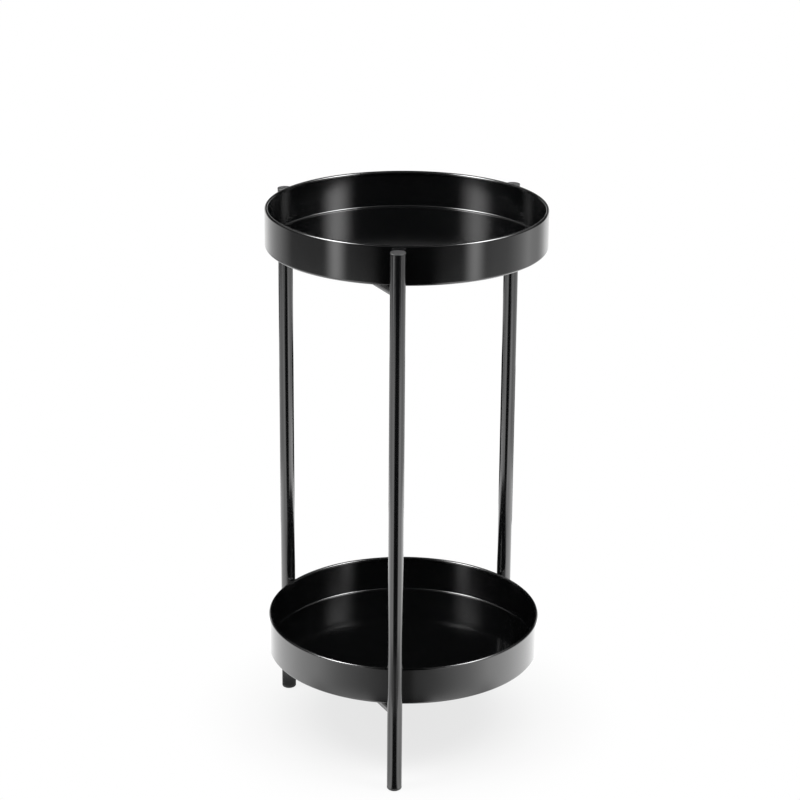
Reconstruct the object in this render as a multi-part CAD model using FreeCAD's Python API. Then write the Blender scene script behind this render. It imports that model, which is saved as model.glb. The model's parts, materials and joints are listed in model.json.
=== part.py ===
import FreeCAD, Part
import math
import os

from FreeCAD import Vector

# Two-tier folding plant stand.
# Two legs and two cross bars make a flat frame, and a third leg swings on arms from the middle of the bars.
# Two loose trays lie on the bars and arms, between the three legs.
# The origin is on the floor on the trays' axis, +Z is up, and the cross bars run along X.

# Trays
tray_diameter = 300.0
tray_height = 42.0
tray_sheet = 1.0
tray_corner_radius = 2.5
upper_rim_height = 604.0
lower_rim_height = 138.0
rim_bead_diameter = 3.6
rim_curl_deg = 230.0

# Legs
cap_below_rim = 4.0
leg_diameter = 16.0
leg_wall = 1.2
leg_spacing_deg = 120.0
tray_leg_clearance = 0.5

# Plugs in the leg ends
cap_head_height = 1.2
cap_edge_radius = 0.5
foot_head_height = 3.5
foot_edge_radius = 2.0
plug_stem_length = 15.0
plug_stem_clearance = 0.9
plug_rib_clearance = 0.1
plug_rib_count = 3
plug_rib_tip_share = 0.3

# Cross bars and swing arms
bar_diameter = 10.0
bar_wall = 1.2
tray_seat_gap = 0.3

# Pivots at the middle of the cross bars
rest_swing_deg = 12.0
swing_clearance = 1.0
lug_thickness = 3.0
lug_width = 18.0
washer_thickness = 0.8
washer_diameter = 14.0
pivot_play = 0.1
pivot_running_clearance = 0.05
bolt_diameter = 6.0
bolt_clearance = 0.1
bolt_head_diameter = 10.5
bolt_head_height = 3.3
bolt_head_rim = 0.8
bolt_socket_width = 4.0
bolt_socket_depth = 2.0
bolt_tip_length = 1.0
nut_width = 10.0
nut_hex_height = 4.4
nut_collar_height = 1.6
nut_collar_diameter = 8.6
nut_chamfer = 0.7
arm_press_length = 20.0
arm_tab_margin = 2.0

# One length by which every cutting tool runs past what it cuts
overrun = 5.0

# Layout worked out from the sizes above
up = Vector(0, 0, 1)
tray_radius = tray_diameter / 2
leg_radius = leg_diameter / 2
leg_top_height = upper_rim_height - cap_below_rim
leg_bore_radius = leg_radius - leg_wall
leg_circle = tray_radius + tray_leg_clearance + leg_radius
bar_radius = bar_diameter / 2
bar_bore_radius = bar_radius - bar_wall
half_spacing = math.radians(leg_spacing_deg / 2)
half_span = leg_circle * math.sin(half_spacing)
cross_bar_y = -leg_circle * math.cos(half_spacing)

# A tube pressed flat keeps the length round its wall
arm_tab_thickness = 2 * bar_wall
arm_tab_width = math.pi * (bar_diameter - bar_wall) / 2 + bar_wall
arm_tab_radius = arm_tab_width / 2
arm_tab_length = max(arm_tab_radius, lug_width / 2, washer_diameter / 2) + arm_tab_margin

pivot_y = cross_bar_y + bar_radius + max(arm_tab_radius, leg_radius) + swing_clearance
arm_reach = leg_circle - pivot_y
pivot_place = Vector(0, pivot_y, 0)
front_leg_place = Vector(half_span, cross_bar_y, 0)
rear_leg_place = Vector(-half_span, cross_bar_y, 0)

# Heights of the pivot stack, counted from the bar's centre line
washer_top = -arm_tab_thickness / 2 - pivot_play
lug_top = washer_top - washer_thickness
lug_bottom = lug_top - lug_thickness
bolt_seat = arm_tab_thickness / 2 + pivot_play
nut_height = nut_hex_height + nut_collar_height
nut_bottom = lug_bottom - nut_height

rim_heights = {"upper": upper_rim_height, "lower": lower_rim_height}


def bar_height(rim_height):
    """Height of the bar's centre line under the tray whose rim is at rim_height."""
    return rim_height - tray_height - tray_seat_gap - bar_radius


def revolved(outline):
    """Solid of revolution about Z of a closed outline of edges in the XZ plane."""
    face = Part.Face(Part.Wire(outline))
    return face.revolve(Vector(0, 0, 0), up, 360)


def straight(*points):
    """Edges that join (radius, height) points one after another."""
    places = [Vector(radius, 0, height) for radius, height in points]
    return [Part.LineSegment(a, b).toShape() for a, b in zip(places, places[1:])]


def on_circle(centre, radius, angle_deg):
    """Point (radius, height) on a circle in the XZ plane."""
    angle = math.radians(angle_deg)
    return (centre[0] + radius * math.cos(angle), centre[1] + radius * math.sin(angle))


def bend(centre, radius, start_deg, end_deg):
    """Arc edge about a centre in the XZ plane."""
    angles = (start_deg, (start_deg + end_deg) / 2, end_deg)
    points = [on_circle(centre, radius, angle) for angle in angles]
    return Part.Arc(*(Vector(x, 0, z) for x, z in points)).toShape()


def tube(start, direction, length, diameter, wall):
    """Open round tube from a start point along a direction."""
    outer = Part.makeCylinder(diameter / 2, length, start, direction)
    bore_start = start - direction * overrun
    bore = Part.makeCylinder(diameter / 2 - wall, length + 2 * overrun, bore_start, direction)
    return outer.cut(bore)


def leg_space(place):
    """The full round space of a leg, which cuts the saddles of the tubes welded to it."""
    return Part.makeCylinder(leg_radius, leg_top_height, place, up)


def hexagon(width, height, base):
    """Hexagonal prism with the given width across its flats."""
    corner = width / 2 / math.cos(math.pi / 6)
    turns = [math.radians(60 * step) for step in range(7)]
    points = [Vector(corner * math.cos(turn), corner * math.sin(turn), base) for turn in turns]
    return Part.Face(Part.makePolygon(points)).extrude(up * height)


# Legs and their plugs
def leg(place):
    """Leg tube between its foot and its cap."""
    length = leg_top_height - foot_head_height - cap_head_height
    return tube(place + up * foot_head_height, up, length, leg_diameter, leg_wall)


def plug(head_height, edge_radius):
    """Push-in plug: a round head on the tube's end, at height zero, and a ribbed stem below it."""
    stem_radius = leg_bore_radius - plug_stem_clearance
    rib_radius = leg_bore_radius - plug_rib_clearance
    pitch = plug_stem_length / plug_rib_count
    profile = [(0, -plug_stem_length), (stem_radius, -plug_stem_length)]
    for rib in range(plug_rib_count):
        top = -plug_stem_length + pitch * (rib + 1)
        profile.append((rib_radius, top - pitch * plug_rib_tip_share))
        profile.append((rib_radius, top))
        profile.append((stem_radius if rib < plug_rib_count - 1 else leg_radius, top))
    profile.append((leg_radius, head_height - edge_radius))
    rounding = bend((leg_radius - edge_radius, head_height - edge_radius), edge_radius, 0, 90)
    crown = straight((leg_radius - edge_radius, head_height), (0, head_height), profile[0])
    return revolved(straight(*profile) + [rounding] + crown)


def leg_cap(place):
    """Cap plugged into the top of a leg."""
    cap = plug(cap_head_height, cap_edge_radius)
    cap.translate(place + up * (leg_top_height - cap_head_height))
    return cap


def leg_foot(place):
    """Foot plugged into the bottom of a leg."""
    foot = plug(foot_head_height, foot_edge_radius)
    foot.rotate(Vector(0, 0, 0), Vector(1, 0, 0), 180)
    foot.translate(place + up * foot_head_height)
    return foot


# Cross bars and what is fixed to them
def cross_bar(height):
    """Tube between the two fixed legs, saddled to fit them."""
    start = rear_leg_place + up * height
    bar = tube(start, Vector(1, 0, 0), 2 * half_span, bar_diameter, bar_wall)
    return bar.cut(leg_space(front_leg_place)).cut(leg_space(rear_leg_place))


def pivot_lug(height):
    """Plate welded to the side of a cross bar, round and drilled at the pivot."""
    base = Vector(-lug_width / 2, cross_bar_y, height + lug_bottom)
    plate = Part.makeBox(lug_width, pivot_y - cross_bar_y, lug_thickness, base)
    nose = Part.makeCylinder(lug_width / 2, lug_thickness, pivot_place + up * (height + lug_bottom), up)
    bar = Part.makeCylinder(bar_radius, 2 * half_span, rear_leg_place + up * height, Vector(1, 0, 0))
    hole_start = pivot_place + up * (height + lug_bottom - overrun)
    hole = Part.makeCylinder(bolt_diameter / 2 + bolt_clearance, lug_thickness + 2 * overrun, hole_start, up)
    return plate.fuse(nose).removeSplitter().cut(bar).cut(hole)


def pivot_bolt(height):
    """Button-head bolt with a hexagon socket, head up."""
    shank_radius = bolt_diameter / 2
    head_radius = bolt_head_diameter / 2
    tip = nut_bottom - bolt_tip_length
    head_top = bolt_seat + bolt_head_height
    below = straight((0, head_top), (0, tip), (shank_radius, tip), (shank_radius, bolt_seat),
                     (head_radius, bolt_seat), (head_radius, bolt_seat + bolt_head_rim))
    shoulder = Vector(head_radius, 0, bolt_seat + bolt_head_rim)
    crown = Vector(0, 0, head_top)
    dome_height = bolt_head_height - bolt_head_rim
    dome_radius = (head_radius ** 2 + dome_height ** 2) / (2 * dome_height)
    half_turn = math.asin(head_radius / dome_radius) / 2
    middle = Vector(dome_radius * math.sin(half_turn), 0,
                    head_top - dome_radius + dome_radius * math.cos(half_turn))
    bolt = revolved(below + [Part.Arc(shoulder, middle, crown).toShape()])
    socket = hexagon(bolt_socket_width, bolt_socket_depth + overrun, head_top - bolt_socket_depth)
    bolt = bolt.cut(socket)
    bolt.translate(pivot_place + up * height)
    return bolt


def pivot_washer(height):
    """Nylon washer on the lug, under the arm."""
    ring = tube(Vector(0, 0, lug_top), up, washer_thickness, washer_diameter,
                washer_diameter / 2 - bolt_diameter / 2 - bolt_clearance)
    ring.translate(pivot_place + up * height)
    return ring


def pivot_nut(height):
    """Lock nut under the lug: a hexagon with chamfered corners and a round collar below it."""
    hex_base = lug_bottom - nut_hex_height
    body = hexagon(nut_width, nut_hex_height, hex_base)
    corner = nut_width / 2 / math.cos(math.pi / 6)
    turned = revolved(straight((0, hex_base), (corner - nut_chamfer, hex_base), (corner, hex_base + nut_chamfer),
                               (corner, lug_bottom), (0, lug_bottom), (0, hex_base)))
    collar = Part.makeCylinder(nut_collar_diameter / 2, nut_collar_height, Vector(0, 0, nut_bottom), up)
    hole = Part.makeCylinder(bolt_diameter / 2 + pivot_running_clearance, nut_height + 2 * overrun,
                             Vector(0, 0, nut_bottom - overrun), up)
    nut = body.common(turned).fuse(collar).removeSplitter().cut(hole)
    nut.translate(pivot_place + up * height)
    return nut


# Swing frame
def swung(shape):
    """Turns a piece of the swing frame from square to the bars to where the leg stands at rest."""
    shape.rotate(pivot_place, up, rest_swing_deg)
    return shape


def pressed_end():
    """Tube end pressed flat: a ruled skin from the flat section at the tab to the round tube."""
    half_width = arm_tab_width / 2
    half_thickness = arm_tab_thickness / 2
    start = arm_tab_length
    corners = [(half_width, half_thickness), (-half_width, half_thickness),
               (-half_width, -half_thickness), (half_width, -half_thickness)]
    flat_points = [Vector(x, start, z) for x, z in corners]
    flat = Part.makePolygon(flat_points + flat_points[:1])
    end = start + arm_press_length
    side = 90 * arm_tab_thickness / (arm_tab_width + arm_tab_thickness)
    turns = [side, 180 - side, 180 + side, 360 - side, 360 + side]
    arcs = []
    for first, last in zip(turns, turns[1:]):
        spots = [on_circle((0, 0), bar_radius, turn) for turn in (first, (first + last) / 2, last)]
        arcs.append(Part.Arc(*(Vector(x, end, z) for x, z in spots)).toShape())
    return Part.makeLoft([flat, Part.Wire(arcs)], True, True)


def swing_arm(height):
    """Tube from the swing leg to the pivot, with its inner end pressed flat, rounded and drilled."""
    tube_start = arm_tab_length + arm_press_length
    along = Vector(0, 1, 0)
    rod = Part.makeCylinder(bar_radius, arm_reach - tube_start, Vector(0, tube_start, 0), along)
    base = Vector(-arm_tab_width / 2, 0, -arm_tab_thickness / 2)
    tab = Part.makeBox(arm_tab_width, arm_tab_length, arm_tab_thickness, base)
    nose = Part.makeCylinder(arm_tab_radius, arm_tab_thickness, Vector(0, 0, base.z), up)
    arm = rod.fuse([pressed_end(), tab, nose]).removeSplitter()
    bore = Part.makeCylinder(bar_bore_radius, arm_reach, Vector(0, tube_start, 0), along)
    hole = Part.makeCylinder(bolt_diameter / 2 + pivot_running_clearance, arm_tab_thickness + 2 * overrun,
                             Vector(0, 0, base.z - overrun), up)
    arm = arm.cut(bore).cut(hole)
    arm.translate(pivot_place + up * height)
    return swung(arm.cut(leg_space(Vector(0, leg_circle, 0))))


# Trays
def tray(rim_height):
    """Pressed sheet tray: flat floor, rounded corner, straight wall and a rim curled inwards."""
    base = rim_height - tray_height
    bead_radius = rim_bead_diameter / 2
    bead_centre = (tray_radius - bead_radius, rim_height - bead_radius)
    curl_radius = bead_radius - tray_sheet
    corner_centre = (tray_radius - tray_corner_radius, base + tray_corner_radius)
    inner_corner_radius = tray_corner_radius - tray_sheet
    half_curl = rim_curl_deg / 2
    outside = straight((0, base), (corner_centre[0], base))
    outside.append(bend(corner_centre, tray_corner_radius, -90, 0))
    outside += straight((tray_radius, corner_centre[1]), (tray_radius, bead_centre[1]))
    outside.append(bend(bead_centre, bead_radius, 0, half_curl))
    outside.append(bend(bead_centre, bead_radius, half_curl, rim_curl_deg))
    edge = straight(on_circle(bead_centre, bead_radius, rim_curl_deg),
                    on_circle(bead_centre, curl_radius, rim_curl_deg))
    inside = [bend(bead_centre, curl_radius, rim_curl_deg, half_curl)]
    inside.append(bend(bead_centre, curl_radius, half_curl, 0))
    inside += straight((tray_radius - tray_sheet, bead_centre[1]), (tray_radius - tray_sheet, corner_centre[1]))
    inside.append(bend(corner_centre, inner_corner_radius, 0, -90))
    inside += straight((corner_centre[0], base + tray_sheet), (0, base + tray_sheet), (0, base))
    return revolved(outside + edge + inside)


# Every piece by its name
pieces = {}
for name, place in (("front_leg", front_leg_place), ("rear_leg", rear_leg_place)):
    pieces[name] = leg(place)
    pieces[name + "_cap"] = leg_cap(place)
    pieces[name + "_foot"] = leg_foot(place)

swing_leg_place = Vector(0, leg_circle, 0)
pieces["swing_leg"] = swung(leg(swing_leg_place))
pieces["swing_leg_cap"] = swung(leg_cap(swing_leg_place))
pieces["swing_leg_foot"] = swung(leg_foot(swing_leg_place))

for level, rim_height in rim_heights.items():
    height = bar_height(rim_height)
    pieces[level + "_cross_bar"] = cross_bar(height)
    pieces[level + "_pivot_lug"] = pivot_lug(height)
    pieces[level + "_pivot_bolt"] = pivot_bolt(height)
    pieces[level + "_pivot_washer"] = pivot_washer(height)
    pieces[level + "_pivot_nut"] = pivot_nut(height)
    pieces[level + "_swing_arm"] = swing_arm(height)
    pieces[level + "_tray"] = tray(rim_height)

os.makedirs("parts", exist_ok=True)
for name, shape in pieces.items():
    shape.exportStep("parts/" + name + ".step")
    box = shape.BoundBox
    print(name, len(shape.Solids), shape.isValid(), round(shape.Volume, 1),
          [round(value, 2) for value in (box.XMin, box.YMin, box.ZMin, box.XMax, box.YMax, box.ZMax)])
print("pivot", round(pivot_y, 4), "leg circle", round(leg_circle, 3), "arm reach", round(arm_reach, 3))
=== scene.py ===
import json
import math

import bpy
from mathutils import Matrix, Vector


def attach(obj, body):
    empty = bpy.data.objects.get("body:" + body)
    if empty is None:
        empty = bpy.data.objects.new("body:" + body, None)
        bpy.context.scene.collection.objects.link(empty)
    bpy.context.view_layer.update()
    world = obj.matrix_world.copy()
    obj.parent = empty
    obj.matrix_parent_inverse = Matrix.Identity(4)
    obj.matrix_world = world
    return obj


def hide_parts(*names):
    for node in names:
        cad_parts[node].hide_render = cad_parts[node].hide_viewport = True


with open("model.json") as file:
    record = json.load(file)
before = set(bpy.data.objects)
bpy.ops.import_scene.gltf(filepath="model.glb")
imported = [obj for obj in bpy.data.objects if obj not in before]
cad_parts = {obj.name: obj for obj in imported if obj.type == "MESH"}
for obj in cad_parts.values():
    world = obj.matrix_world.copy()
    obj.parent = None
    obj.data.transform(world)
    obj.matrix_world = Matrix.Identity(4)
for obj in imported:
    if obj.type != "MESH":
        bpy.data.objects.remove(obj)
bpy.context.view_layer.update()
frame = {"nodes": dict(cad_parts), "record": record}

MM = 0.001

# Camera of the photograph: where it stands round the trays' axis, how it is turned, and its lens
CAMERA_AZIMUTH = math.radians(63.047)
CAMERA_DISTANCE = 2.5271
CAMERA_HEIGHT = 1.2975
CAMERA_PITCH = 0.34583
CAMERA_TURN = -0.00226
CAMERA_ROLL = -0.00756
CAMERA_LENS = 111.61
CAMERA_SENSOR = 36.0

# Directions on the floor, seen from the stand
TOWARDS_CAMERA = Vector((math.sin(CAMERA_AZIMUTH), -math.cos(CAMERA_AZIMUTH), 0))
CAMERA_RIGHT = Vector((math.cos(CAMERA_AZIMUTH), math.sin(CAMERA_AZIMUTH), 0))

# Trays, in millimetres
TRAY_RADIUS = 150.0
TRAY_HEIGHT = 42.0
TRAY_SHEET = 1.0
TRAY_CORNER = 2.5
RIM_BEAD_RADIUS = 1.8
RIM_CURL_DEG = 230
RIM_HEIGHTS = {"upper": 604.0, "lower": 138.0}
HOLDING_EDGE = 0.4

# How finely the trays are turned
TRAY_SEGMENTS = 256
CORNER_STEPS = 10
BEAD_STEPS = 24
CURL_STEPS = 16
SMOOTH_ANGLE = math.radians(35)

# Feet of the two legs that the floor card is fitted to
LEG_CIRCLE = 158.5 * MM
LEG_SPREAD = math.radians(30)
FRONT_FOOT = Vector((LEG_CIRCLE * math.cos(LEG_SPREAD), -LEG_CIRCLE * math.sin(LEG_SPREAD), 0))
REAR_FOOT = Vector((-FRONT_FOOT.x, FRONT_FOOT.y, 0))


# Shader maths
class Wire:
    """The value of a socket. Sums with it add Math nodes."""

    def __init__(self, shader, socket):
        self.shader = shader
        self.socket = socket

    def combine(self, operation, first, second):
        return self.shader.node("Math", {"operation": operation}, {0: first, 1: second})

    def __add__(self, other):
        return self.combine("ADD", self, other)

    def __radd__(self, other):
        return self.combine("ADD", other, self)

    def __sub__(self, other):
        return self.combine("SUBTRACT", self, other)

    def __rsub__(self, other):
        return self.combine("SUBTRACT", other, self)

    def __mul__(self, other):
        return self.combine("MULTIPLY", self, other)

    def __rmul__(self, other):
        return self.combine("MULTIPLY", other, self)


class Shader:
    """The node tree of a material or world, written afresh."""

    def __init__(self, owner):
        owner.use_nodes = True
        self.tree = owner.node_tree
        self.tree.nodes.clear()

    def node(self, kind, settings=None, sockets=None, output=0):
        """Adds a node, sets it up, feeds its sockets and returns one of its outputs."""
        made = self.tree.nodes.new("ShaderNode" + kind)
        for name, value in (settings or {}).items():
            if name == "stops":
                elements = made.color_ramp.elements
                while len(elements) < len(value):
                    elements.new(1.0)
                for element, (place, colour) in zip(elements, value):
                    element.position = place
                    element.color = colour
            else:
                setattr(made, name, value)
        for key, value in (sockets or {}).items():
            if isinstance(value, Wire):
                self.tree.links.new(value.socket, made.inputs[key])
            else:
                made.inputs[key].default_value = value
        return Wire(self, made.outputs[output]) if made.outputs else None

    def place(self):
        return self.node("TexCoord", output="Object")

    def height(self):
        return self.node("SeparateXYZ", None, {0: self.place()}, output="Z")

    def distance(self, point):
        """Distance of a place from a point."""
        return self.node("VectorMath", {"operation": "DISTANCE"},
                         {0: self.place(), 1: point}, output="Value")

    def along(self, vector, direction):
        """Part of a vector that goes along a direction."""
        return self.node("VectorMath", {"operation": "DOT_PRODUCT"},
                         {0: vector, 1: direction}, output="Value")

    def facing(self, direction, point=(0, 0, 0)):
        """Cosine of the angle between a direction and the way from a point to a place."""
        way = self.node("VectorMath", {"operation": "SUBTRACT"}, {0: self.place(), 1: point})
        return self.along(self.node("VectorMath", {"operation": "NORMALIZE"}, {0: way}), direction)

    def bearing(self):
        """Angle round the upright axis, from the camera's side towards its right, in radians."""
        aside = self.along(self.place(), CAMERA_RIGHT)
        ahead = self.along(self.place(), TOWARDS_CAMERA)
        return self.node("Math", {"operation": "ARCTAN2"}, {0: aside, 1: ahead})

    def off(self, value, centre=0.0):
        """Distance of a value from a centre."""
        return self.node("Math", {"operation": "ABSOLUTE"}, {0: value - centre})

    def fade(self, value, ends):
        """Smooth rise from 0 to 1 between two values."""
        return self.node("MapRange", {"interpolation_type": "SMOOTHSTEP"},
                         {"Value": value, "From Min": ends[0], "From Max": ends[1]})

    def bell(self, angle, centre_deg, half_deg):
        """1 at an angle, falling softly to 0 this far to either side."""
        return 1 - self.fade(self.off(angle, math.radians(centre_deg)), (0.0, math.radians(half_deg)))

    def noise(self, waves, detail=2.0):
        """Noise from 0 to 1 over the object, with this many waves in a metre."""
        return self.node("TexNoise", None, {"Vector": self.place(), "Scale": waves, "Detail": detail})

    def wander(self, middle, spread, waves):
        """Value that wanders about its middle, with this many waves in a metre."""
        return middle + spread * (self.noise(waves) - 0.5)

    def blend(self, factor, first, second):
        """Colour between two colours."""
        return self.node("Mix", {"data_type": "RGBA"}, {"Factor": factor, 6: first, 7: second}, output=2)

    def ramp(self, value, levels):
        """Grey that follows a list of places from 0 to 1 and their levels."""
        stops = [(place, grey(level)) for place, level in levels]
        return self.node("ValToRGB", {"stops": stops}, {"Fac": value})

    def bump(self, height, relief):
        """Normal of a surface whose relief is this deep, in metres."""
        return self.node("Bump", None, {"Strength": 1.0, "Distance": relief, "Height": height})

    def seen(self):
        """1 for what the camera, gloss or glass looks at, and 0 for what only lights the scene."""
        camera = self.node("LightPath", output="Is Camera Ray")
        gloss = self.node("LightPath", output="Is Glossy Ray")
        glass = self.node("LightPath", output="Is Transmission Ray")
        return camera + gloss + glass


def grey(level):
    return (level, level, level, 1)


def new_material(name):
    material = bpy.data.materials.new(name)
    return material, Shader(material)


def finish(shader, surface):
    shader.node("OutputMaterial", None, {"Surface": surface})


# Black coat of the trays and of the frame. Waves are counted in a metre, and reliefs are in metres
TRAY_BLACK = (0.0018, 0.0020, 0.0022, 1)
TRAY_MOTTLE = (0.0030, 0.0032, 0.0034, 1)
TRAY_ROUGHNESS = 0.12
TRAY_IOR = 1.8
FRAME_BLACK = (0.0040, 0.0042, 0.0046, 1)
FRAME_MOTTLE = (0.0060, 0.0062, 0.0066, 1)
FRAME_ROUGHNESS = 0.14
FRAME_IOR = 1.85
MOTTLE_WAVES = 18.0
MOTTLE_DETAIL = 3.0
COAT_GLOSS_WAVES = 45.0
COAT_GLOSS_SPREAD = 0.05
PEEL_WAVES = 900.0
SOFT_PEEL_WAVES = 350.0
SOFT_PEEL_SHARE = 0.6
PEEL_RELIEF = 0.0000015


def baked_coat(name, black, mottle, roughness, ior):
    """Black coat baked on steel: a faint mottle, gloss that wanders a little, and fine orange peel."""
    material, shader = new_material(name)
    colour = shader.blend(shader.noise(MOTTLE_WAVES, MOTTLE_DETAIL), black, mottle)
    gloss = shader.wander(roughness, COAT_GLOSS_SPREAD, COAT_GLOSS_WAVES)
    peel = shader.noise(PEEL_WAVES) + SOFT_PEEL_SHARE * shader.noise(SOFT_PEEL_WAVES)
    finish(shader, shader.node("BsdfPrincipled", None, {
        "Base Color": colour, "Roughness": gloss, "Normal": shader.bump(peel, PEEL_RELIEF), "IOR": ior}))
    return material


# Plastic of the plugs
PLUG_DARK = (0.052, 0.052, 0.053, 1)
PLUG_LIGHT = (0.064, 0.064, 0.065, 1)
PLUG_COLOUR_WAVES = 120.0
PLUG_ROUGHNESS = 0.42
PLUG_GLOSS_SPREAD = 0.1
PLUG_GLOSS_WAVES = 300.0
PLUG_GRAIN_WAVES = 2600.0
PLUG_GRAIN_DETAIL = 3.0
PLUG_GRAIN_RELIEF = 0.00001
PLUG_IOR = 1.5


def moulded_plastic(name):
    """Black moulded plastic: matt, with a fine grain."""
    material, shader = new_material(name)
    colour = shader.blend(shader.noise(PLUG_COLOUR_WAVES), PLUG_DARK, PLUG_LIGHT)
    gloss = shader.wander(PLUG_ROUGHNESS, PLUG_GLOSS_SPREAD, PLUG_GLOSS_WAVES)
    grain = shader.bump(shader.noise(PLUG_GRAIN_WAVES, PLUG_GRAIN_DETAIL), PLUG_GRAIN_RELIEF)
    finish(shader, shader.node("BsdfPrincipled", None, {
        "Base Color": colour, "Roughness": gloss, "Normal": grain, "IOR": PLUG_IOR}))
    return material


# Zinc of the bolts and nuts
ZINC_DARK = (0.52, 0.53, 0.56, 1)
ZINC_LIGHT = (0.68, 0.68, 0.67, 1)
ZINC_CLOUD_WAVES = 400.0
ZINC_CLOUD_DETAIL = 4.0
ZINC_ROUGHNESS = 0.22
ZINC_CLOUD_ROUGHNESS = 0.16
TURNING_WAVES = 900.0
TURNING_DISTORTION = 2.0
TURNING_DETAIL = 2.0
TURNING_RELIEF = 0.000006


def zinc_plate(name):
    """Bright zinc on turned steel: cloudy plating over fine turning marks round the upright axis."""
    material, shader = new_material(name)
    cloud = shader.noise(ZINC_CLOUD_WAVES, ZINC_CLOUD_DETAIL)
    colour = shader.blend(cloud, ZINC_DARK, ZINC_LIGHT)
    gloss = ZINC_ROUGHNESS + ZINC_CLOUD_ROUGHNESS * cloud
    marks = shader.node("TexWave", {"bands_direction": "Z"}, {
        "Vector": shader.place(), "Scale": TURNING_WAVES,
        "Distortion": TURNING_DISTORTION, "Detail": TURNING_DETAIL})
    turning = shader.bump(marks, TURNING_RELIEF)
    finish(shader, shader.node("BsdfPrincipled", None, {
        "Base Color": colour, "Roughness": gloss, "Metallic": 1.0, "Normal": turning}))
    return material


# Nylon of the washers
NYLON_DARK = (0.66, 0.63, 0.56, 1)
NYLON_LIGHT = (0.76, 0.74, 0.68, 1)
NYLON_COLOUR_WAVES = 250.0
NYLON_COLOUR_DETAIL = 3.0
NYLON_ROUGHNESS = 0.38
NYLON_ROUGHNESS_RISE = 0.14
NYLON_GLOSS_WAVES = 500.0
NYLON_WAX_WAVES = 1500.0
NYLON_WAX_RELIEF = 0.000012
NYLON_IOR = 1.53


def nylon(name):
    """Natural nylon: off-white, waxy and slightly uneven."""
    material, shader = new_material(name)
    colour = shader.blend(shader.noise(NYLON_COLOUR_WAVES, NYLON_COLOUR_DETAIL), NYLON_DARK, NYLON_LIGHT)
    gloss = NYLON_ROUGHNESS + NYLON_ROUGHNESS_RISE * shader.noise(NYLON_GLOSS_WAVES)
    wax = shader.bump(shader.noise(NYLON_WAX_WAVES), NYLON_WAX_RELIEF)
    finish(shader, shader.node("BsdfPrincipled", None, {
        "Base Color": colour, "Roughness": gloss, "Normal": wax, "IOR": NYLON_IOR}))
    return material


finishes = {
    "tray_coat": baked_coat("tray_coat", TRAY_BLACK, TRAY_MOTTLE, TRAY_ROUGHNESS, TRAY_IOR),
    "frame_coat": baked_coat("frame_coat", FRAME_BLACK, FRAME_MOTTLE, FRAME_ROUGHNESS, FRAME_IOR),
    "plug": moulded_plastic("plug"),
    "fastener": zinc_plate("fastener"),
    "nylon": nylon("nylon"),
}
for subpart in frame["record"]["subparts"]:
    mesh = frame["nodes"][subpart["node"]].data
    mesh.materials.clear()
    mesh.materials.append(finishes[subpart["material_slot"]])


# Trays, turned in finer steps than the solids so that their rims shine evenly
def arc(centre, radius, start_deg, end_deg, steps):
    """Points of an arc in the profile's plane."""
    points = []
    for step in range(steps + 1):
        angle = math.radians(start_deg + (end_deg - start_deg) * step / steps)
        points.append((centre[0] + radius * math.cos(angle), centre[1] + radius * math.sin(angle)))
    return points


def tray_profile(rim):
    """Radius and height of each ring, from the underside round the rim to the floor inside."""
    base = rim - TRAY_HEIGHT
    corner = (TRAY_RADIUS - TRAY_CORNER, base + TRAY_CORNER)
    bead = (TRAY_RADIUS - RIM_BEAD_RADIUS, rim - RIM_BEAD_RADIUS)
    flat = corner[0] - HOLDING_EDGE
    low = corner[1] + HOLDING_EDGE
    high = bead[1] - HOLDING_EDGE
    inside = TRAY_RADIUS - TRAY_SHEET
    points = [(flat, base)]
    points += arc(corner, TRAY_CORNER, -90, 0, CORNER_STEPS)
    points += [(TRAY_RADIUS, low), (TRAY_RADIUS, high)]
    points += arc(bead, RIM_BEAD_RADIUS, 0, RIM_CURL_DEG, BEAD_STEPS)
    points += arc(bead, RIM_BEAD_RADIUS - TRAY_SHEET, RIM_CURL_DEG, 0, CURL_STEPS)
    points += [(inside, high), (inside, low)]
    points += arc(corner, TRAY_CORNER - TRAY_SHEET, 0, -90, CORNER_STEPS)
    points += [(flat, base + TRAY_SHEET)]
    return points


def turned(name, profile):
    """Round piece: a disc that is extruded and scaled ring by ring along its profile."""
    bpy.ops.object.select_all(action="DESELECT")
    radius, height = profile[0]
    bpy.ops.mesh.primitive_circle_add(vertices=TRAY_SEGMENTS, radius=radius * MM, fill_type="NGON")
    piece = bpy.context.object
    piece.name = name
    bpy.ops.object.mode_set(mode="EDIT")
    bpy.ops.mesh.select_all(action="SELECT")
    bpy.ops.transform.translate(value=(0, 0, height * MM))
    for next_radius, next_height in profile[1:]:
        rise = (next_height - height) * MM
        grow = next_radius / radius
        bpy.ops.mesh.extrude_region_move(TRANSFORM_OT_translate={"value": (0, 0, rise)})
        bpy.ops.transform.resize(value=(grow, grow, 1), center_override=(0, 0, 0))
        radius, height = next_radius, next_height
    bpy.ops.mesh.select_all(action="SELECT")
    bpy.ops.mesh.normals_make_consistent(inside=False)
    bpy.ops.object.mode_set(mode="OBJECT")
    bpy.ops.object.shade_smooth_by_angle(angle=SMOOTH_ANGLE)
    return piece


for level, rim in RIM_HEIGHTS.items():
    tray = turned(level + "_tray_sheet", tray_profile(rim))
    tray.data.materials.append(finishes["tray_coat"])
    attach(tray, level + "_tray")
    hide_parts(level + "_tray")


# Studio: places round the stand go by the angle from the camera's side towards its right
def around(angle_deg, distance, height):
    angle = math.radians(angle_deg)
    flat = TOWARDS_CAMERA * math.cos(angle) + CAMERA_RIGHT * math.sin(angle)
    return flat * distance + Vector((0, 0, height))


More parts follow.
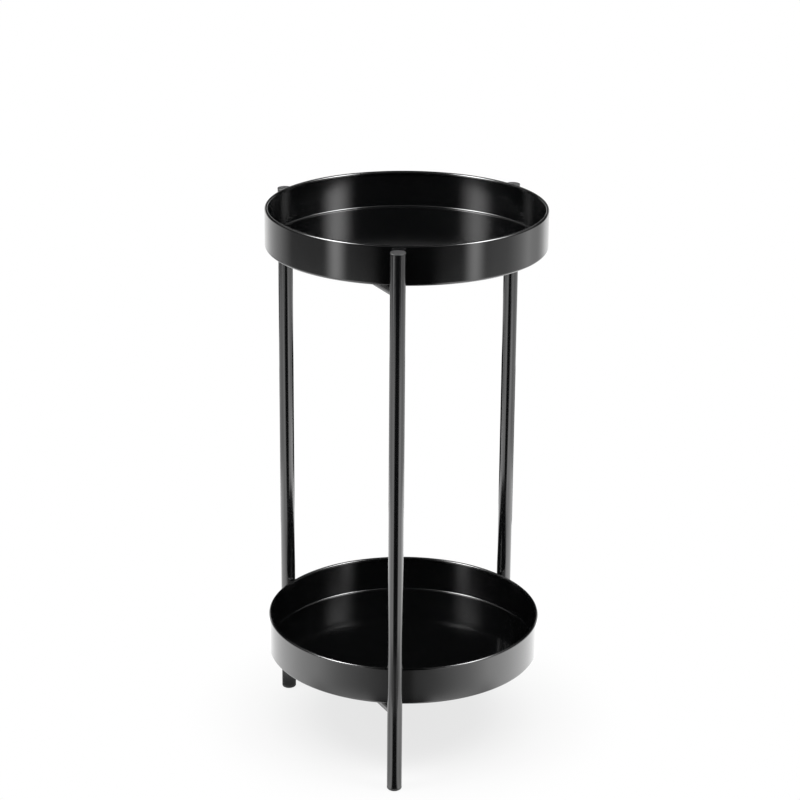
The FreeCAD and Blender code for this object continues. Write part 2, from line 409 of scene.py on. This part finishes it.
# Pale floor: it takes soft shadows near the stand and fades to plain white away from it. Its white glow is
# also dimmed under the stand, as a painted shadow
FLOOR_SIZE = 60.0
FLOOR_DROP = 0.0005
FLOOR_TINT = 0.9
SHADE_CENTRE = TOWARDS_CAMERA * -0.02
SHADOW_REACH = (0.1, 0.26)
NEAR_WHITE = 0.82
# Painted shadow: the floor's white glow is this dim under the stand, and brightens to plain white over this
# reach
PAINTED_SHADE_REACH = (0.075, 0.165)
PAINTED_SHADE_LEVEL = 0.92

bpy.ops.object.select_all(action="DESELECT")
bpy.ops.mesh.primitive_plane_add(size=FLOOR_SIZE, location=(0, 0, -FLOOR_DROP))
floor = bpy.context.object
floor.name = "studio_floor"
material, shader = new_material("studio_floor")
away = shader.distance(SHADE_CENTRE)
white_share = shader.seen() * (NEAR_WHITE + (1 - NEAR_WHITE) * shader.fade(away, SHADOW_REACH))
paper = shader.node("BsdfDiffuse", None, {"Color": grey(FLOOR_TINT)})
# Painted shadow under the stand: the white glow dims towards the stand
painted_shade_white = shader.blend(shader.fade(away, PAINTED_SHADE_REACH), grey(PAINTED_SHADE_LEVEL), grey(1.0))
white = shader.node("Emission", None, {"Color": painted_shade_white, "Strength": 1.0})
finish(shader, shader.node("MixShader", None, {0: white_share, 1: paper, 2: white}))
floor.data.materials.append(material)

# World: white to the camera, gloss and glass, and a softer light to the rest
AMBIENT = 0.45

world = bpy.data.worlds.new("studio")
bpy.context.scene.world = world
shader = Shader(world)
white = shader.blend(shader.seen(), grey(AMBIENT), grey(1.0))
sky = shader.node("Background", None, {"Color": white, "Strength": 1.0})
shader.node("OutputWorld", None, {"Surface": sky})

# Softboxes, a long one and a high one at either side: they light colours and the floor, not the gloss
SOFTBOXES = {
    "left_softbox": dict(angle_deg=-62.5, distance=1.35, width=0.26, low=0.85, high=1.7, radiance=4.6),
    "right_softbox": dict(angle_deg=64, distance=1.35, width=0.26, low=0.85, high=1.7, radiance=4.6),
    "left_high_lamp": dict(angle_deg=-63, distance=1.1, width=0.55, low=1.3, high=2.3, radiance=9.0),
    "right_high_lamp": dict(angle_deg=60, distance=1.1, width=0.55, low=1.3, high=2.3, radiance=9.0),
}


def softbox(name, angle_deg, distance, width, low, high, radiance):
    """Upright softbox that faces the trays' axis."""
    data = bpy.data.lights.new(name, "AREA")
    data.shape = "RECTANGLE"
    data.size = width
    data.size_y = high - low
    data.energy = radiance * math.pi * width * (high - low)
    lamp = bpy.data.objects.new(name, data)
    bpy.context.scene.collection.objects.link(lamp)
    lamp.location = around(angle_deg, distance, (low + high) / 2)
    lamp.rotation_euler = around(angle_deg, -1, 0).to_track_quat("-Z", "Y").to_euler()
    lamp.visible_camera = False
    lamp.visible_glossy = False


for name, set_up in SOFTBOXES.items():
    softbox(name, **set_up)

# Panels of the stage that only show in gloss, as cards beside the picture do
PANEL_SEGMENTS = 180
DISC_SEGMENTS = 96
DARK = 0.004


def panel(name, first_deg, last_deg, distance, low, high):
    """Curved upright panel round the stand."""
    bpy.ops.object.select_all(action="DESELECT")
    bpy.ops.mesh.primitive_cylinder_add(vertices=PANEL_SEGMENTS, radius=distance, depth=high - low,
                                        end_fill_type="NOTHING")
    piece = bpy.context.object
    piece.name = name
    bpy.ops.object.mode_set(mode="EDIT")
    bpy.ops.mesh.select_mode(type="FACE")
    bpy.ops.mesh.select_all(action="DESELECT")
    bpy.ops.object.mode_set(mode="OBJECT")
    middle = around((first_deg + last_deg) / 2, 1, 0)
    least = math.cos(math.radians((last_deg - first_deg) / 2))
    for face in piece.data.polygons:
        face.select = face.normal.dot(middle) < least
    bpy.ops.object.mode_set(mode="EDIT")
    bpy.ops.mesh.delete(type="FACE")
    bpy.ops.mesh.select_all(action="SELECT")
    bpy.ops.transform.translate(value=(0, 0, (low + high) / 2))
    bpy.ops.object.mode_set(mode="OBJECT")
    return piece


def disc(name, radius, height):
    """Level round panel over or under the stand."""
    bpy.ops.object.select_all(action="DESELECT")
    bpy.ops.mesh.primitive_circle_add(vertices=DISC_SEGMENTS, radius=radius, fill_type="NGON",
                                      location=(0, 0, height))
    piece = bpy.context.object
    piece.name = name
    return piece


def gloss_only(piece, look):
    """Gives a panel its look: its brightness, and the share of it that hides what is behind it."""
    material, shader = new_material(piece.name)
    share, level = look(shader)
    glow = shader.node("Emission", None, {"Color": level, "Strength": 1.0})
    clear = shader.node("BsdfTransparent")
    finish(shader, shader.node("MixShader", None, {0: share, 1: clear, 2: glow}))
    piece.data.materials.append(material)
    piece.visible_camera = False
    piece.visible_diffuse = False
    piece.visible_shadow = False
    piece.visible_transmission = False


def all_dark(shader):
    return 1.0, grey(DARK)


# Drum round the stand: light at the back, dark in front and overhead. Angles are in degrees
DRUM_RADIUS = 1.5
DRUM_TOP = 2.6
DRUM_FOOT = (0.07, 0.13)
ROUND_THE_DRUM = [
    (-180, 1.0), (-148, 1.35), (-134, 1.08), (-127, 0.95), (-117, 0.76), (-108, 0.48), (-101, 0.21),
    (-75, 0.22), (-45, 0.2), (-28, 0.1), (0, 0.04), (25, 0.04), (45, 0.13), (70, 0.46), (85, 0.52),
    (98, 0.86), (110, 1.28), (118, 0.95), (127, 0.75), (135, 0.95), (145, 1.4), (180, 1.0)]
BAND_END = (0.42, 0.48)
BACK_SIDE = (math.radians(135), math.radians(150))
BACK_RISE = 0.38
BACK_DIM = 0.07
HIGH_DIM = 0.7

# Soft lamps of the drum, at the left and at the right: level, angle, and how far it reaches to either side
LOW_LAMPS = ((1.9, -55.5, 11), (1.65, 53.5, 11))
MIDDLE_LAMPS = ((4.6, -63.5, 19), (6.2, 64, 18.5))
HIGH_LAMPS = ((31.0, -69, 30), (22.0, 73, 31))
LOW_LAMPS_RISE = (0.35, 0.7)
LOW_LAMPS_GAIN = 2
LOW_LAMPS_END = (0.72, 0.8)
MIDDLE_LAMPS_START = (0.84, 0.96)
HIGH_START = (1.2, 1.4)


def lamps(shader, angle, pair):
    """Brightness of a pair of the drum's soft lamps."""
    left, right = (level * shader.bell(angle, centre_deg, half_deg) for level, centre_deg, half_deg in pair)
    return left + right


def drum_look(shader):
    angle = shader.bearing()
    height = shader.height()
    back = shader.fade(shader.off(angle), BACK_SIDE)
    dark = shader.fade(height - BACK_RISE * back, BAND_END)
    turn = 0.5 + angle * (0.5 / math.pi)
    band = shader.ramp(turn, [(0.5 + degrees / 360, level) for degrees, level in ROUND_THE_DRUM])
    low_rise = 1 + LOW_LAMPS_GAIN * shader.fade(height, LOW_LAMPS_RISE)
    low = lamps(shader, angle, LOW_LAMPS) * low_rise * (1 - shader.fade(height, LOW_LAMPS_END))
    middle = lamps(shader, angle, MIDDLE_LAMPS) * shader.fade(height, MIDDLE_LAMPS_START)
    high = (lamps(shader, angle, HIGH_LAMPS) + HIGH_DIM * (1 - back)) * shader.fade(height, HIGH_START)
    level = band * (1 - dark) + (DARK + BACK_DIM * back) * dark + low + middle + high
    return shader.fade(height, DRUM_FOOT), level


gloss_only(panel("studio_drum", -180, 180, DRUM_RADIUS, 0.0, DRUM_TOP), drum_look)
gloss_only(disc("studio_lid", DRUM_RADIUS, DRUM_TOP), all_dark)

# Dark flags: a soft one in front of the stand, two low ones behind it, and one close behind each tray
FRONT_FLAG = dict(first_deg=-26, last_deg=26, distance=0.62, low=0.0, high=1.05)
FRONT_FLAG_SIDES = (math.radians(16), math.radians(26))
BACK_FLAGS = {
    "left_back_flag": dict(first_deg=-142, last_deg=-116, distance=1.49, low=0.0, high=0.1),
    "lower_back_flag": dict(first_deg=135, last_deg=225, distance=0.3, low=0.14, high=0.34),
}
WALL_FLAG = dict(first_deg=140, last_deg=220, distance=0.2)
WALL_FLAG_SIDES = (math.radians(140), math.radians(154))
WALL_FLAG_UNDER_RIM = 0.016
WALL_FLAG_DROP = 0.14


def front_flag_look(shader):
    return 1 - shader.fade(shader.off(shader.bearing()), FRONT_FLAG_SIDES), grey(DARK)


def wall_flag_look(shader):
    """Clears the light that grazes the tray's sides."""
    return shader.fade(shader.off(shader.bearing()), WALL_FLAG_SIDES), grey(DARK)


gloss_only(panel("front_flag", **FRONT_FLAG), front_flag_look)
for name, set_up in BACK_FLAGS.items():
    gloss_only(panel(name, **set_up), all_dark)
for level, rim in RIM_HEIGHTS.items():
    top = rim * MM - WALL_FLAG_UNDER_RIM
    foot = max(top - WALL_FLAG_DROP, 0.0)
    gloss_only(panel(level + "_wall_flag", low=foot, high=top, **WALL_FLAG), wall_flag_look)

# Graded card on the floor: light at the sides, a dark wedge in front of the front leg, and a painted shadow
# round the rear foot.
# Its grades go by the cosine of the angle from the camera's side, round the trays' axis and round the leg
CARD_RADIUS = 1.45
CARD_HEIGHT = 0.0002
CARD_GAIN = 2.0
RIGHT_GAIN = 0.5
RIGHT_SIDE = (0.2, 0.7)
WALL_GRADE = [(0.0, 0.95), (0.45, 0.78), (0.54, 0.66), (0.69, 0.45), (0.81, 0.33),
              (0.9, 0.24), (0.97, 0.18), (0.99, 0.15), (0.997, 0.06)]
LEG_GRADE = [(0.0, 0.45), (0.5, 0.7), (0.77, 0.75), (0.9, 0.005)]
IN_FRONT = (0.3, 0.6)
BY_THE_LEG = (0.33, 0.36)
PAST_THE_WALL = (0.46, 0.50)
# Painted shadow round the rear foot: over this reach the card is opaque and dimmed to this share of its
# level
REAR_FOOT_SHADE_REACH = (0.02, 0.13)
REAR_FOOT_SHADE_LEVEL = 0.12
UNDER_TRAY = (0.17, 0.21)
WEDGE = (0.7, 0.9)
WEDGE_PULL = 0.05
FAR_SIDES = (0.75, 0.9)


def card_look(shader):
    away = shader.distance((0, 0, 0))
    ahead = shader.facing(TOWARDS_CAMERA)
    in_front = shader.fade(ahead, IN_FRONT)
    # Painted shadow: near the rear foot the card darkens and stops letting the floor through
    clear_of_foot_shade = shader.fade(shader.distance(REAR_FOOT), REAR_FOOT_SHADE_REACH)
    wall = shader.ramp(ahead, WALL_GRADE)
    leg = shader.ramp(shader.facing(TOWARDS_CAMERA, FRONT_FOOT), LEG_GRADE)
    at_wall = shader.fade(away, BY_THE_LEG) * (1 - shader.fade(away, PAST_THE_WALL))
    gain = CARD_GAIN + RIGHT_GAIN * shader.fade(shader.facing(CAMERA_RIGHT), RIGHT_SIDE)
    painted_foot_shade = REAR_FOOT_SHADE_LEVEL + (1 - REAR_FOOT_SHADE_LEVEL) * clear_of_foot_shade
    level = gain * painted_foot_shade * shader.blend(in_front * (1 - at_wall), wall, leg)
    under = 1 - shader.fade(away + WEDGE_PULL * shader.fade(ahead, WEDGE), UNDER_TRAY)
    beyond = shader.fade(away, FAR_SIDES) * (1 - in_front)
    return (1 - clear_of_foot_shade * under) * (1 - beyond), level


gloss_only(disc("floor_card", CARD_RADIUS, CARD_HEIGHT), card_look)

# Camera
camera_data = bpy.data.cameras.new("photo_camera")
camera_data.sensor_width = CAMERA_SENSOR
camera_data.lens = CAMERA_LENS
camera = bpy.data.objects.new("photo_camera", camera_data)
bpy.context.scene.collection.objects.link(camera)
heading = CAMERA_TURN - CAMERA_AZIMUTH
level_forward = Vector((math.sin(heading), math.cos(heading), 0))
level_right = Vector((math.cos(heading), -math.sin(heading), 0))
forward = level_forward * math.cos(CAMERA_PITCH) - Vector((0, 0, math.sin(CAMERA_PITCH)))
level_down = forward.cross(level_right)
right = level_right * math.cos(CAMERA_ROLL) + level_down * math.sin(CAMERA_ROLL)
down = level_down * math.cos(CAMERA_ROLL) - level_right * math.sin(CAMERA_ROLL)
stand_point = TOWARDS_CAMERA * CAMERA_DISTANCE + Vector((0, 0, CAMERA_HEIGHT))
turned_to_photo = Matrix((right, -down, -forward)).transposed().to_4x4()
camera.matrix_world = Matrix.Translation(stand_point) @ turned_to_photo
bpy.context.scene.camera = camera
bpy.context.scene.view_settings.view_transform = "Standard"
